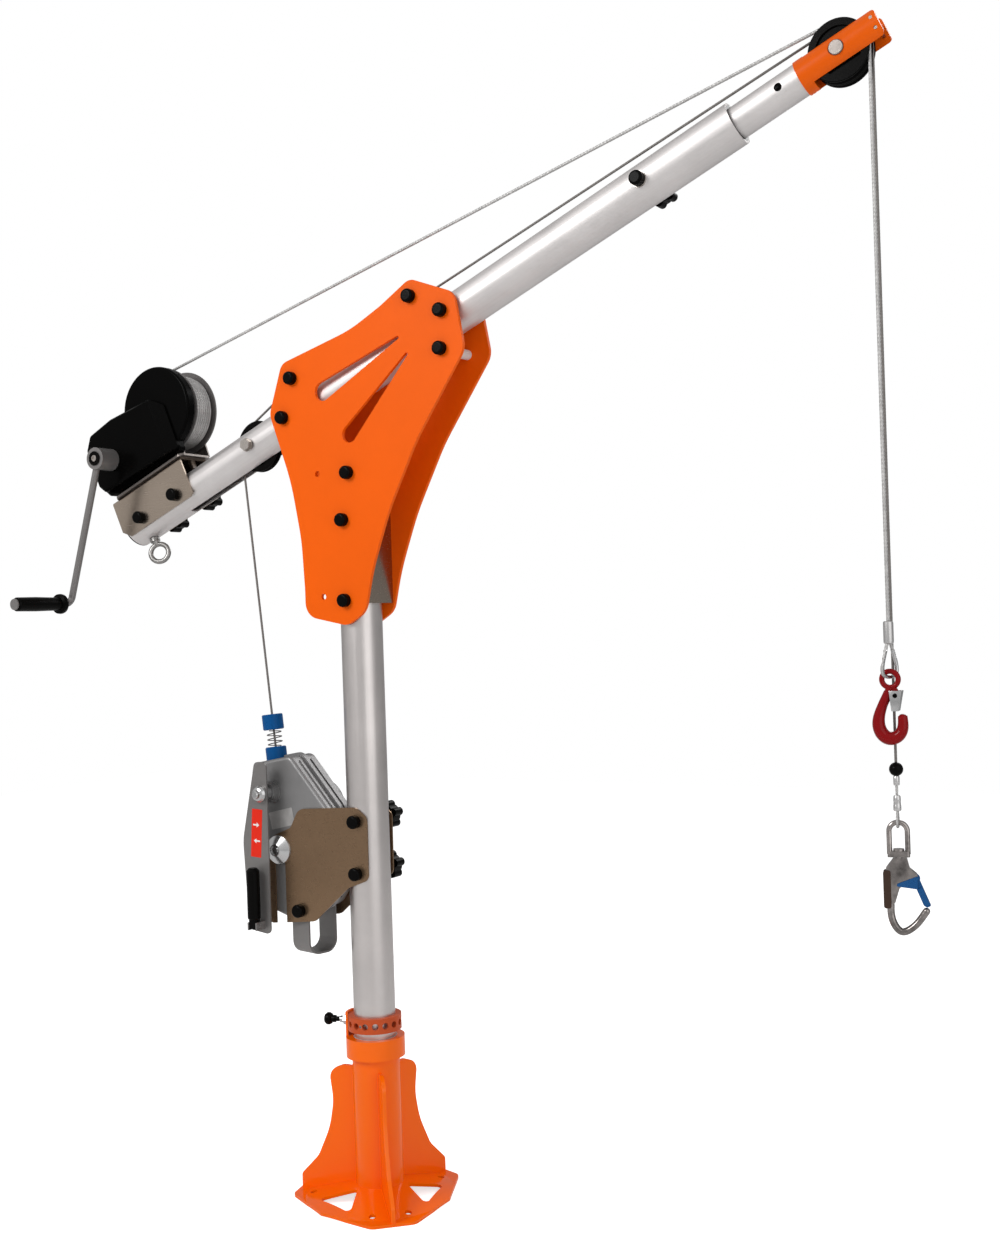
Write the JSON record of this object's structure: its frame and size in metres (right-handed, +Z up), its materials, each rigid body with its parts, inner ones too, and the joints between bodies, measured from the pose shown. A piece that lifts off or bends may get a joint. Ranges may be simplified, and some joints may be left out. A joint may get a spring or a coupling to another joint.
{
  "type": "davit crane",
  "caption": "Swivelling davit crane: bolted base, mast, tilted telescopic boom with rope sheaves, hand winch with hook, and a fall arrester with a snap hook for lifting people and loads.",
  "frame": {"origin": "on the mast's axis at the underside of the base plate", "axes": "+Z up along the mast, +X along the boom's horizontal direction, -Y the winch crank's side"},
  "size_m": [1.8633, 0.4525, 2.1619],
  "materials": {
    "gloss_orange": "glossy orange paint",
    "satin_orange": "satin orange paint",
    "boom_aluminium": "anodised satin aluminium",
    "mast_aluminium": "anodised satin aluminium",
    "stainless": "satin stainless steel",
    "zinc_steel": "bright zinc plated steel",
    "grey_casting": "cast aluminium",
    "grey_paint": "grey paint",
    "black_plastic": "satin black plastic",
    "black_paint": "black paint",
    "black_rubber": "matt rubber",
    "blue_plastic": "blue plastic",
    "blue_metal": "blue lacquer",
    "red_paint": "glossy red paint",
    "wire_rope": "stranded steel wire rope",
    "chrome_steel": "polished steel",
    "dark_steel": "dark steel",
    "pale_nylon": "pale nylon"
  },
  "bodies": {
    "base": {"base_plate": "gloss_orange", "base_gussets": "gloss_orange", "socket_tube": "gloss_orange", "socket_bushes": "pale_nylon", "plunger_body": "zinc_steel"},
    "plunger": {"plunger_knob": "black_plastic"},
    "mast": {"mast_tube": "mast_aluminium", "index_ring": "satin_orange", "mast_fasteners": "stainless", "head_plate_near": "satin_orange", "head_plate_far": "satin_orange", "head_bolts": "stainless", "bolt_caps": "black_plastic", "front_bracket": "stainless", "outer_boom": "boom_aluminium", "boom_inserts": "black_plastic", "eye_bolt": "zinc_steel", "boom_bolts": "stainless", "star_knobs": "black_plastic", "winch_saddle": "stainless", "winch_frame": "zinc_steel", "gear_cover": "black_paint", "bracket_plates": "stainless", "arrester_near": "grey_casting", "arrester_far": "grey_casting", "carry_handle": "grey_paint", "hanger_cones": "zinc_steel", "cable_guide": "blue_plastic", "bumper_spring": "zinc_steel", "lifeline_lead": "wire_rope", "hoist_run": "wire_rope", "lifeline_run": "wire_rope"},
    "guide_roller": {"guide_roller": "black_plastic"},
    "rear_sheave": {"rear_sheave": "black_plastic"},
    "inner_boom": {"inner_boom": "boom_aluminium", "sheave_fork": "satin_orange", "fork_pins": "stainless", "head_wraps": "wire_rope", "hoist_fall": "wire_rope", "lifeline_fall": "wire_rope"},
    "hoist_sheave": {"hoist_sheave": "black_plastic"},
    "lifeline_sheave": {"lifeline_sheave": "black_plastic"},
    "clamp_knob": {"clamp_knob": "black_plastic"},
    "drum": {"winch_drum": "grey_paint", "hoist_winding": "wire_rope"},
    "crank": {"winch_crank": "grey_paint"},
    "crank_grip": {"crank_grip": "black_plastic"},
    "bumper": {"cable_bumper": "blue_plastic"},
    "retrieval_crank": {"retrieval_arm": "grey_paint", "retrieval_shaft": "zinc_steel"},
    "retrieval_grip": {"retrieval_grip": "black_plastic"},
    "hook_carrier": {"hoist_thimble": "zinc_steel"},
    "hook": {"hook_body": "red_paint"},
    "hook_latch": {"hook_latch": "zinc_steel"},
    "line_end": {"stop_ball": "black_rubber", "lifeline_end": "zinc_steel"},
    "swivel_bow": {"swivel_bow": "chrome_steel"},
    "snap_hook": {"snap_body": "chrome_steel"},
    "snap_gate": {"snap_gate": "blue_metal"},
    "snap_lever": {"snap_lever": "dark_steel"}
  },
  "joints": [
    {"name": "mast_rotation", "type": "hinge", "parent": "base", "child": "mast", "pos_m": [0, 0, 0.3], "axis": [0, 0, 1], "continuous": true},
    {"name": "index_plunger", "type": "slide", "parent": "base", "child": "plunger", "axis": [-0.9732, -0.23, 0], "range_m": [-0.009, 0]},
    {"name": "boom_extension", "type": "slide", "parent": "mast", "child": "inner_boom", "axis": [0.9176, 0, 0.3975], "range_m": [-0.1, 0.2], "deforming": ["hoist_run", "lifeline_run"]},
    {"name": "clamp_knob_turn", "type": "hinge", "parent": "mast", "child": "clamp_knob", "pos_m": [0.66986, 0.06, 1.94915], "axis": [0, 1, 0], "continuous": true},
    {"name": "winch_crank_turn", "type": "hinge", "parent": "mast", "child": "crank", "pos_m": [-0.60726, -0.125, 1.54636], "axis": [0, -1, 0], "range_deg": [-29.01, 1740.63]},
    {"name": "crank_grip_turn", "type": "hinge", "parent": "crank", "child": "crank_grip", "pos_m": [-0.70535, -0.125, 1.23337], "axis": [0, 1, 0], "continuous": true},
    {"name": "drum_turn", "type": "hinge", "parent": "mast", "child": "drum", "pos_m": [-0.49328, 0, 1.64803], "axis": [0, -1, 0], "range_deg": [-8.25, 436.16], "deforming": ["hoist_winding"]},
    {"name": "hoist_sheave_turn", "type": "hinge", "parent": "inner_boom", "child": "hoist_sheave", "pos_m": [1.03636, -0.0095, 2.1079], "axis": [0, -1, 0], "range_deg": [-12.23, 675.06]},
    {"name": "hook_hoist", "type": "slide", "parent": "inner_boom", "child": "hook_carrier", "axis": [0, 0, 1], "range_m": [-0.011, 0.601], "deforming": ["hoist_fall"]},
    {"name": "hook_swing", "type": "hinge", "parent": "hook_carrier", "child": "hook", "pos_m": [1.08736, -0.0095, 1.05], "axis": [0.4067, 0.9135, 0], "range_deg": [-20, 2]},
    {"name": "hook_latch_open", "type": "hinge", "parent": "hook", "child": "hook_latch", "pos_m": [1.09631, -0.00856, 1.0185], "axis": [-0.1045, 0.9945, 0], "range_deg": [0, 25], "stiffness_Nm_per_rad": 0.05, "springref_deg": -11.46},
    {"name": "lifeline_payout", "type": "slide", "parent": "inner_boom", "child": "line_end", "axis": [0, 0, -1], "range_m": [-0.01, 0.6], "deforming": ["lifeline_fall"]},
    {"name": "lifeline_sheave_turn", "type": "hinge", "parent": "inner_boom", "child": "lifeline_sheave", "pos_m": [1.03636, 0.0095, 2.1079], "axis": [0, 1, 0], "range_deg": [-12.23, 675.07]},
    {"name": "rear_sheave_turn", "type": "hinge", "parent": "mast", "child": "rear_sheave", "pos_m": [-0.24867, 0, 1.55129], "axis": [0, 1, 0], "range_deg": [-12.23, 675.07]},
    {"name": "guide_roller_turn", "type": "hinge", "parent": "mast", "child": "guide_roller", "pos_m": [-0.11824, 0, 1.67535], "axis": [0, 1, 0], "range_deg": [-33.19, 1932.33]},
    {"name": "bow_swing", "type": "hinge", "parent": "line_end", "child": "swivel_bow", "pos_m": [1.08736, 0.0095, 0.796], "axis": [-0.1736, 0.9848, 0], "range_deg": [-15, 15]},
    {"name": "snap_swivel", "type": "hinge", "parent": "swivel_bow", "child": "snap_hook", "pos_m": [1.08736, 0.0095, 0.75], "axis": [0, 0, 1], "continuous": true},
    {"name": "snap_gate_open", "type": "hinge", "parent": "snap_hook", "child": "snap_gate", "pos_m": [1.11162, 0.01555, 0.709], "axis": [-0.2419, 0.9703, 0], "range_deg": [0, 25], "stiffness_Nm_per_rad": 0.05, "springref_deg": -11.46},
    {"name": "snap_lever_press", "type": "hinge", "parent": "snap_hook", "child": "snap_lever", "pos_m": [1.07281, 0.00587, 0.712], "axis": [-0.2419, 0.9703, 0], "range_deg": [-6, 0], "stiffness_Nm_per_rad": 0.05, "springref_deg": 11.46},
    {"name": "retrieval_crank_turn", "type": "hinge", "parent": "mast", "child": "retrieval_crank", "pos_m": [-0.214, -0.078, 0.823], "axis": [0, 1, 0], "continuous": true},
    {"name": "retrieval_grip_fold", "type": "hinge", "parent": "retrieval_crank", "child": "retrieval_grip", "pos_m": [-0.226, -0.098, 0.552], "axis": [1, 0, 0], "range_deg": [0, 90]},
    {"name": "bumper_press", "type": "slide", "parent": "mast", "child": "bumper", "axis": [-0.1022, 0, 0.9948], "range_m": [-0.02, 0], "stiffness_N_per_m": 900, "springref_m": 0.002, "deforming": ["bumper_spring"]}
  ],
  "couplings": [
    {"joint": "drum_turn", "follows": "winch_crank_turn", "ratio": 0.25},
    {"joint": "hoist_sheave_turn", "follows": "winch_crank_turn", "ratio": 0.38725},
    {"joint": "hook_hoist", "follows": "winch_crank_turn", "m_per_rad": 0.01975},
    {"joint": "lifeline_sheave_turn", "follows": "lifeline_payout", "rad_per_m": 19.608},
    {"joint": "rear_sheave_turn", "follows": "lifeline_payout", "rad_per_m": 19.608},
    {"joint": "guide_roller_turn", "follows": "lifeline_payout", "rad_per_m": 56.18}
  ]
}
